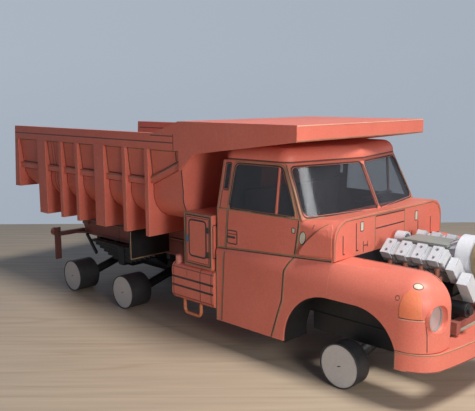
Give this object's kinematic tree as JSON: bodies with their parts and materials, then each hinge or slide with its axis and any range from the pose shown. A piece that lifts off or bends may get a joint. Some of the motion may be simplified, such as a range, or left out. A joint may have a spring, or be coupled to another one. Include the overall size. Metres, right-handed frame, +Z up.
{
  "type": "model dump truck",
  "caption": "Unfinished card model of a bonneted three-axle dump truck: open engine, bare wheel cores, ribbed tipping bed with a shield over the cab.",
  "frame": {"origin": "on the floor under the middle of the bounding box", "axes": "+X to the front of the truck, +Y to its left, +Z up"},
  "size_m": [0.29, 0.098, 0.103],
  "materials": {
    "card_orange": "satin printed card",
    "card_brown": "matte printed card",
    "card_black": "matte printed card",
    "card_dark": "matte printed card",
    "card_white": "satin printed card",
    "card_grey": "satin printed card",
    "card_olive": "matte printed card",
    "card_brass": "satin printed card",
    "card_copper": "satin printed card",
    "card_wheel": "satin printed card",
    "clear_sheet": "glossy clear sheet",
    "silver_card": "satin silver card",
    "wire_orange": "satin painted wire",
    "pin_steel": "satin"
  },
  "bodies": {
    "chassis": {"cab_shell": "card_orange", "cab_pillars": "card_orange", "cab_roof": "card_orange", "firewall": "card_orange", "wing_right": "card_orange", "wing_left": "card_orange", "bumper": "card_orange", "cabinets": "card_orange", "fuel_tanks": "card_orange", "frame": "card_brown", "lamp_brackets": "card_brown", "backbone": "card_black", "front_axle": "card_black", "rear_axles": "card_black", "arch_liners": "card_black", "splash_plates": "card_black", "starter": "card_black", "crankcase": "card_black", "steering_wheel": "card_black", "rear_lamps": "card_black", "dashboard": "card_dark", "seats": "card_dark", "rocker_boxes": "card_white", "fan_shroud": "card_white", "engine_boxes": "card_white", "cylinders": "card_grey", "fan_rotor": "card_grey", "engine_pipes": "card_copper", "valley_cover": "card_olive", "fan_rim": "card_brass", "window_glass": "clear_sheet", "headlamp_lenses": "clear_sheet", "headlamp_rings": "silver_card", "head_blocks": "silver_card", "step_loops": "wire_orange", "hinge_pin": "pin_steel"},
    "bed": {"bed_tub": "card_orange", "bed_ribs": "card_orange", "bed_rims": "card_orange", "bed_mouldings": "card_orange", "bed_front_wall": "card_orange", "cab_shield": "card_orange", "bed_beams": "card_brown"},
    "wheel_front_right": {"wheel_front_right": "card_wheel"},
    "wheel_front_left": {"wheel_front_left": "card_wheel"},
    "wheel_middle_right": {"wheel_middle_right": "card_wheel"},
    "wheel_middle_left": {"wheel_middle_left": "card_wheel"},
    "wheel_rear_right": {"wheel_rear_right": "card_wheel"},
    "wheel_rear_left": {"wheel_rear_left": "card_wheel"}
  },
  "joints": [
    {"name": "bed_tip", "type": "hinge", "parent": "chassis", "child": "bed", "pos_m": [-0.113, 0, 0.041], "axis": [0, -1, 0], "range_deg": [0, 50]},
    {"name": "wheel_front_right_spin", "type": "hinge", "parent": "chassis", "child": "wheel_front_right", "pos_m": [0.103, -0.0415, 0.0092], "axis": [0, 1, 0], "continuous": true},
    {"name": "wheel_front_left_spin", "type": "hinge", "parent": "chassis", "child": "wheel_front_left", "pos_m": [0.103, 0.0415, 0.0092], "axis": [0, 1, 0], "continuous": true},
    {"name": "wheel_middle_right_spin", "type": "hinge", "parent": "chassis", "child": "wheel_middle_right", "pos_m": [-0.0415, -0.0375, 0.0092], "axis": [0, 1, 0], "continuous": true},
    {"name": "wheel_middle_left_spin", "type": "hinge", "parent": "chassis", "child": "wheel_middle_left", "pos_m": [-0.0415, 0.0375, 0.0092], "axis": [0, 1, 0], "continuous": true},
    {"name": "wheel_rear_right_spin", "type": "hinge", "parent": "chassis", "child": "wheel_rear_right", "pos_m": [-0.0915, -0.0375, 0.0092], "axis": [0, 1, 0], "continuous": true},
    {"name": "wheel_rear_left_spin", "type": "hinge", "parent": "chassis", "child": "wheel_rear_left", "pos_m": [-0.0915, 0.0375, 0.0092], "axis": [0, 1, 0], "continuous": true}
  ]
}
